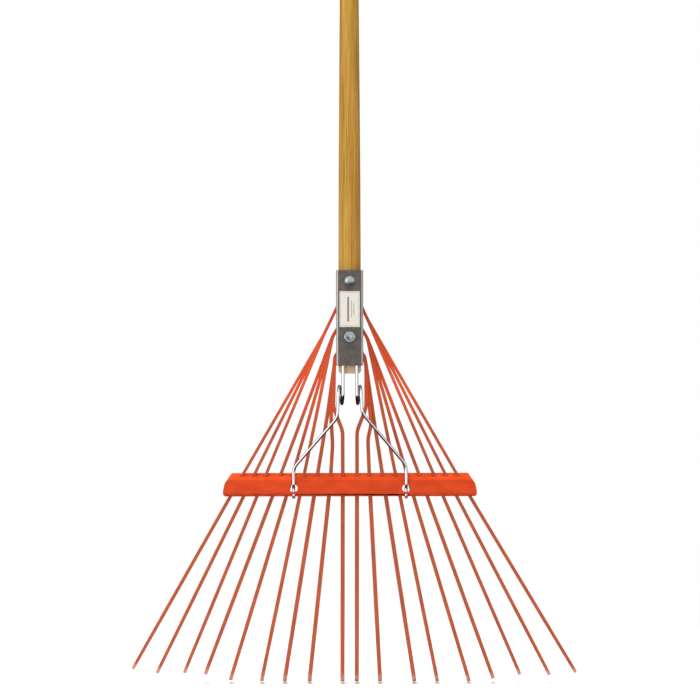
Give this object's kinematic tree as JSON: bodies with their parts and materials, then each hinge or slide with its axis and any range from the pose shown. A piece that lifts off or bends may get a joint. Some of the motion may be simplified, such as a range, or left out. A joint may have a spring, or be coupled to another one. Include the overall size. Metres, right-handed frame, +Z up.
{
  "type": "leaf rake",
  "caption": "Leaf rake with a wooden handle, a square steel socket, a fan of flat hooked spring-steel tines, a folded crossbar and a chromed wire spring brace.",
  "frame": {"origin": "on the handle's axis at the middle of the upper hand grip, 200 mm below the handle's top end", "axes": "+Z up along the handle towards its top end, +X to the right seen from the front, -Y is the front with the brace and the label, and the tine tips hook towards +Y"},
  "size_m": [0.4928, 0.0606, 1.5603],
  "materials": {
    "varnished_wood": "clear satin varnish over straight-grained ash",
    "zinc_sheet": "zinc-plated sheet steel, dull with brighter edges",
    "zinc_fastener": "bright zinc-plated steel",
    "chromed_wire": "polished chrome plate",
    "orange_bar_paint": "glossy orange-red enamel",
    "orange_tine_paint": "orange-red enamel, thin and worn at the tips",
    "paper_label": "plain cream paper label, blank"
  },
  "bodies": {
    "root": {"handle": "varnished_wood", "socket": "zinc_sheet", "label": "paper_label", "upper_bolt": "zinc_fastener", "upper_lock_washer": "zinc_fastener", "upper_nut": "zinc_fastener", "lower_bolt": "zinc_fastener", "lower_lock_washer": "zinc_fastener", "lower_nut": "zinc_fastener", "tine_pair_1": "orange_tine_paint", "tine_pair_2": "orange_tine_paint", "tine_pair_3": "orange_tine_paint", "tine_pair_4": "orange_tine_paint", "tine_pair_5": "orange_tine_paint", "tine_pair_6": "orange_tine_paint", "tine_pair_7": "orange_tine_paint", "tine_pair_8": "orange_tine_paint", "tine_pair_9": "orange_tine_paint", "crossbar": "orange_bar_paint", "brace_spring": "chromed_wire"}
  },
  "joints": []
}
